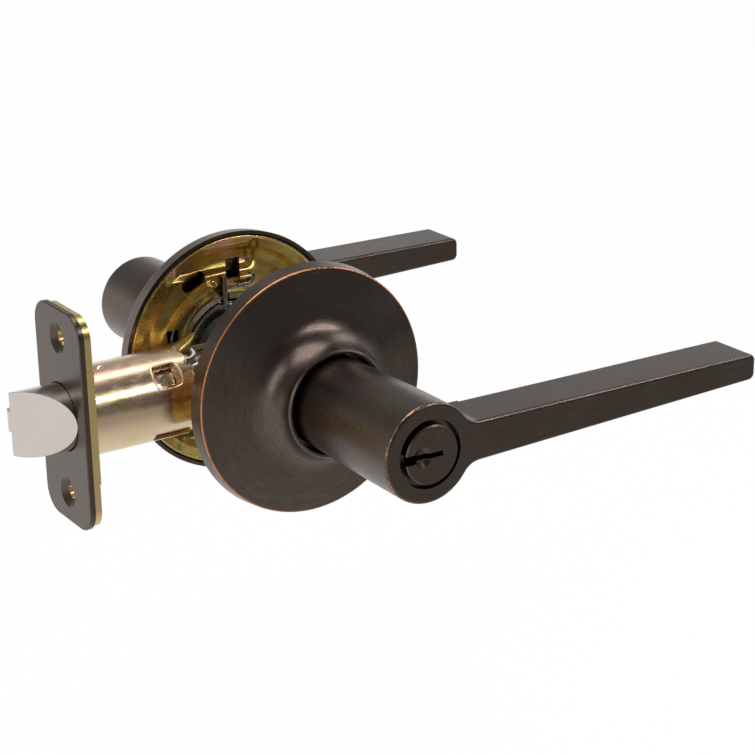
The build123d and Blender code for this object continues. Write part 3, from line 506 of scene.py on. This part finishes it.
def coil_piece(node, pitch):
    """A coil in the place of a packed spring."""
    low, high = box_mm(node)
    middle_y = (low.y + high.y) / 2
    radius = (high.z - low.z) / 2 - coil_wire
    length = high.x - low.x - 2 * coil_wire
    turns = length / pitch
    steps = int(turns * steps_a_turn)
    work = bmesh.new()
    rings = []
    for step in range(steps + 1):
        angle = 2 * math.pi * turns * step / steps
        outward = Vector((0, math.cos(angle), math.sin(angle)))
        centre = Vector((low.x + coil_wire + length * step / steps, middle_y, 0)) + outward * radius
        ring = []
        for side in range(sides_round):
            around = 2 * math.pi * side / sides_round
            off = outward * math.cos(around) + Vector((1, 0, 0)) * math.sin(around)
            ring.append(work.verts.new((centre + off * coil_wire) * MM))
        rings.append(ring)
    for first, second in zip(rings, rings[1:]):
        for side in range(sides_round):
            after = (side + 1) % sides_round
            work.faces.new((first[side], first[after], second[after], second[side])).smooth = True
    work.faces.new(rings[0][::-1])
    work.faces.new(rings[-1])
    bmesh.ops.recalc_face_normals(work, faces=work.faces)
    mesh = bpy.data.meshes.new(node + "_coil")
    work.to_mesh(mesh)
    made = place_piece(node + "_coil", mesh, wire)
    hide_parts(node)
    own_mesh(made)


coil_piece("bolt_spring", 2.4)
coil_piece("plunger_spring", 1.9)

# ---------------------------------------------------------------- studio
# The camera stands in front of the keyed side, to the latch's side and above
camera_place = Vector((-260.76, -450.22, 187.26))
camera_azimuth, camera_down, camera_roll = (math.radians(a) for a in (33.217, 20.134, -0.969))
camera = bpy.data.objects.new("camera", bpy.data.cameras.new("camera"))
scene.collection.objects.link(camera)
scene.camera = camera
forward = Vector((
    math.cos(camera_down) * math.sin(camera_azimuth),
    math.cos(camera_down) * math.cos(camera_azimuth),
    -math.sin(camera_down),
))
right = forward.cross(Vector((0, 0, 1))).normalized()
up = right.cross(forward)
rolled_right = right * math.cos(camera_roll) + up * math.sin(camera_roll)
rolled_up = rolled_right.cross(forward)
facing = Matrix((rolled_right, rolled_up, -forward)).transposed().to_4x4()
camera.matrix_world = Matrix.Translation(camera_place * MM) @ facing
camera.data.sensor_width = 36.0
camera.data.lens = 99.43
camera.data.clip_start = 10 * MM

floor_drop = 100.0
floor_width = 8000.0
floor_mesh = bpy.data.meshes.new("floor")
sheet = bmesh.new()
bmesh.ops.create_grid(sheet, x_segments=8, y_segments=8, size=floor_width / 2 * MM)
sheet.to_mesh(floor_mesh)
floor = bpy.data.objects.new("floor", floor_mesh)
floor.location.z = cad_box[0][2] - floor_drop * MM
scene.collection.objects.link(floor)

# White paper floor. Rays from the camera and from gloss see it white, apart from the object's shadow.
paper, tree = new_material("white_paper")
rays = add(tree, "LightPath").node.outputs
seen = {0: rays["Is Camera Ray"], 1: rays["Is Transmission Ray"]}
seen = add(tree, "Math", seen, operation="MAXIMUM")
lit = add(tree, "BsdfDiffuse", {"Color": colour("#F4F4F4")})
white = add(tree, "Emission", {"Color": colour("#FFFFFF"), "Strength": 1.0})
# gloss finds it bright on the latch's side and behind, and dark in front of the levers
place = add(tree, "NewGeometry")
slant = add(tree, "VectorMath", {0: place, 1: (-0.75, 0.66, 0.0)}, out=1, operation="DOT_PRODUCT")
glow = add(tree, "MapRange", {0: slant, 1: -0.30, 2: 0.16, 3: 0.38, 4: 0.95}, **EASED)
gloss = add(tree, "Emission", {"Color": colour("#FFFFFF"), "Strength": glow})
shown = add(tree, "MixShader", {0: 0.96, 1: lit, 2: white})
surface = add(tree, "MixShader", {0: seen, 1: lit, 2: shown})
surface = add(tree, "MixShader", {0: rays["Is Glossy Ray"], 1: surface, 2: gloss})
add(tree, "OutputMaterial", {"Surface": surface})
floor_mesh.materials.append(paper)

# White room. Gloss sees a white wall behind, a dim room in front, and a darker gap below the ceiling.
world = bpy.data.worlds.new("studio")
scene.world = world
world.use_nodes = True
tree = world.node_tree
tree.nodes.clear()
rays = add(tree, "LightPath").node.outputs
seen = {0: rays["Is Camera Ray"], 1: rays["Is Transmission Ray"]}
seen = add(tree, "Math", seen, operation="MAXIMUM")
_, y, z = add(tree, "SeparateXYZ", {0: add(tree, "TexCoord")}).node.outputs
behind = add(tree, "MapRange", {0: y, 1: -0.5, 2: 0.6, 3: 0.16, 4: 1.0}, **EASED)
gap = add(tree, "MapRange", {0: z, 1: 0.10, 2: 0.42, 3: 1.0, 4: 0.36}, **EASED)
gloss = add(tree, "Math", {0: behind, 1: gap}, operation="MULTIPLY")
level = add(tree, "Mix", {0: rays["Is Glossy Ray"], 2: 0.45, 3: gloss}, data_type="FLOAT")
level = add(tree, "Mix", {0: seen, 2: level, 3: 1.0}, data_type="FLOAT")
background = add(tree, "Background", {"Color": colour("#FFFFFF"), "Strength": level})
add(tree, "OutputWorld", {"Surface": background})


def softbox(name, place, aim, size, watts):
    """A rectangular soft light that faces a point, in metres."""
    data = bpy.data.lights.new(name, "AREA")
    data.shape = "RECTANGLE"
    data.size, data.size_y = size
    data.energy = watts
    lamp = bpy.data.objects.new(name, data)
    lamp.location = place
    lamp.rotation_euler = (Vector(aim) - Vector(place)).to_track_quat("-Z", "Y").to_euler()
    scene.collection.objects.link(lamp)


softbox("overhead", (-0.05, 0.05, 0.75), (0, 0, 0), (0.8, 0.5), 3.6)
softbox("left_front", (-0.75, -0.45, 0.35), (0, 0, 0), (0.30, 0.7), 1.5)
softbox("right_side", (0.80, 0.05, 0.55), (0, 0, 0), (0.4, 0.5), 1.3)
softbox("key", (0.41, -0.47, 0.50), (-0.02, 0, 0), (0.50, 0.12), 1.6)

scene.view_settings.view_transform = "Standard"
